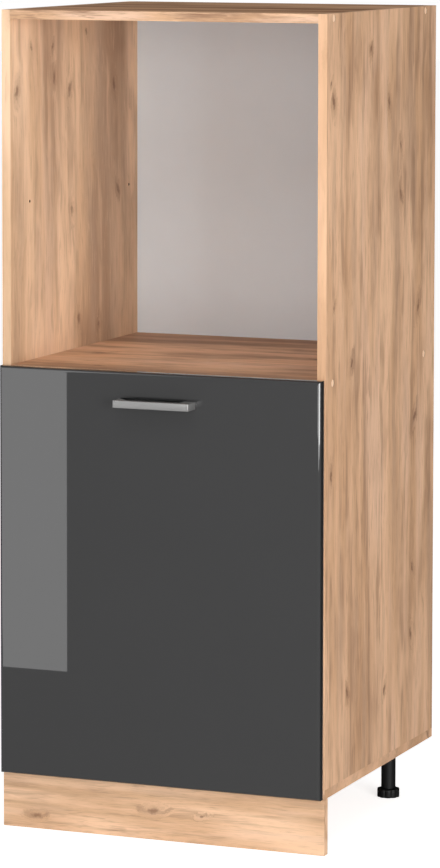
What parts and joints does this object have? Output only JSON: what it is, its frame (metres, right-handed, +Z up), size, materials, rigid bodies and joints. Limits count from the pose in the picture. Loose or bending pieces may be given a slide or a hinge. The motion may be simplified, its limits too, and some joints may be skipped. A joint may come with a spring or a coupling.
{
  "type": "oven housing cabinet",
  "caption": "Tall kitchen unit with an open oven niche over a hinged-door compartment, on adjustable feet behind a pull-off plinth.",
  "frame": {"origin": "on the floor, under the middle of the box that holds the whole cabinet", "axes": "+X to the right seen from the front, front faces -Y, +Z up"},
  "size_m": [0.6, 0.611, 1.43],
  "materials": {
    "wood_decor_board": "printed wood decor, matt",
    "decor_edging": "matt edging in the board's decor",
    "white_back_board": "white lacquered fibreboard, satin",
    "gloss_door": "high-gloss anthracite",
    "brushed_handle": "brushed",
    "plated_steel": "nickel-plated",
    "black_plastic": "moulded, matt",
    "cap_plastic": "moulded, matt",
    "dowel_wood": "raw beech",
    "bumper_rubber": "clear soft dot"
  },
  "bodies": {
    "root": {"left_side_panel": "wood_decor_board", "right_side_panel": "wood_decor_board", "top_panel": "wood_decor_board", "oven_shelf": "wood_decor_board", "bottom_panel": "wood_decor_board", "adjustable_shelf": "wood_decor_board", "adjustable_shelf_edge_band": "decor_edging", "top_panel_edge_band": "decor_edging", "oven_shelf_edge_band": "decor_edging", "bottom_panel_edge_band": "decor_edging", "left_side_edge_band": "decor_edging", "right_side_edge_band": "decor_edging", "upper_back_panel": "white_back_board", "lower_back_panel": "white_back_board", "shelf_pins": "plated_steel", "carcass_screws": "plated_steel", "wood_dowels": "dowel_wood", "cover_caps": "cap_plastic", "back_nails": "plated_steel", "front_left_leg_socket": "black_plastic", "front_right_leg_socket": "black_plastic", "rear_left_leg_socket": "black_plastic", "rear_right_leg_socket": "black_plastic", "leg_screws": "plated_steel", "lower_hinge_arm": "plated_steel", "upper_hinge_arm": "plated_steel", "lower_hinge_plate": "plated_steel", "upper_hinge_plate": "plated_steel", "arm_screws": "plated_steel", "plate_screws": "plated_steel"},
    "door": {"door_panel": "gloss_door", "door_handle": "brushed_handle", "handle_screws": "plated_steel", "door_bumpers": "bumper_rubber", "lower_hinge_cup": "plated_steel", "upper_hinge_cup": "plated_steel", "lower_hinge_pin": "plated_steel", "upper_hinge_pin": "plated_steel", "cup_screws": "plated_steel"},
    "plinth": {"plinth_board": "wood_decor_board", "plinth_edge_band": "decor_edging", "left_plinth_clip": "black_plastic", "right_plinth_clip": "black_plastic", "clip_screws": "plated_steel"},
    "foot_front_left": {"front_left_leg_foot": "black_plastic"},
    "foot_front_right": {"front_right_leg_foot": "black_plastic"},
    "foot_rear_left": {"rear_left_leg_foot": "black_plastic"},
    "foot_rear_right": {"rear_right_leg_foot": "black_plastic"}
  },
  "joints": [
    {"name": "door_swing", "type": "hinge", "parent": "root", "child": "door", "pos_m": [-0.291, -0.2665, 0.45625], "axis": [0, 0, -1], "range_deg": [0, 95]},
    {"name": "plinth_pull", "type": "slide", "parent": "root", "child": "plinth", "axis": [0, -1, 0], "range_m": [0, 0.1]},
    {"name": "front_left_foot_height", "type": "slide", "parent": "root", "child": "foot_front_left", "axis": [0, 0, -1], "range_m": [0, 0.02]},
    {"name": "front_right_foot_height", "type": "slide", "parent": "root", "child": "foot_front_right", "axis": [0, 0, -1], "range_m": [0, 0.02]},
    {"name": "rear_left_foot_height", "type": "slide", "parent": "root", "child": "foot_rear_left", "axis": [0, 0, -1], "range_m": [0, 0.02]},
    {"name": "rear_right_foot_height", "type": "slide", "parent": "root", "child": "foot_rear_right", "axis": [0, 0, -1], "range_m": [0, 0.02]}
  ]
}
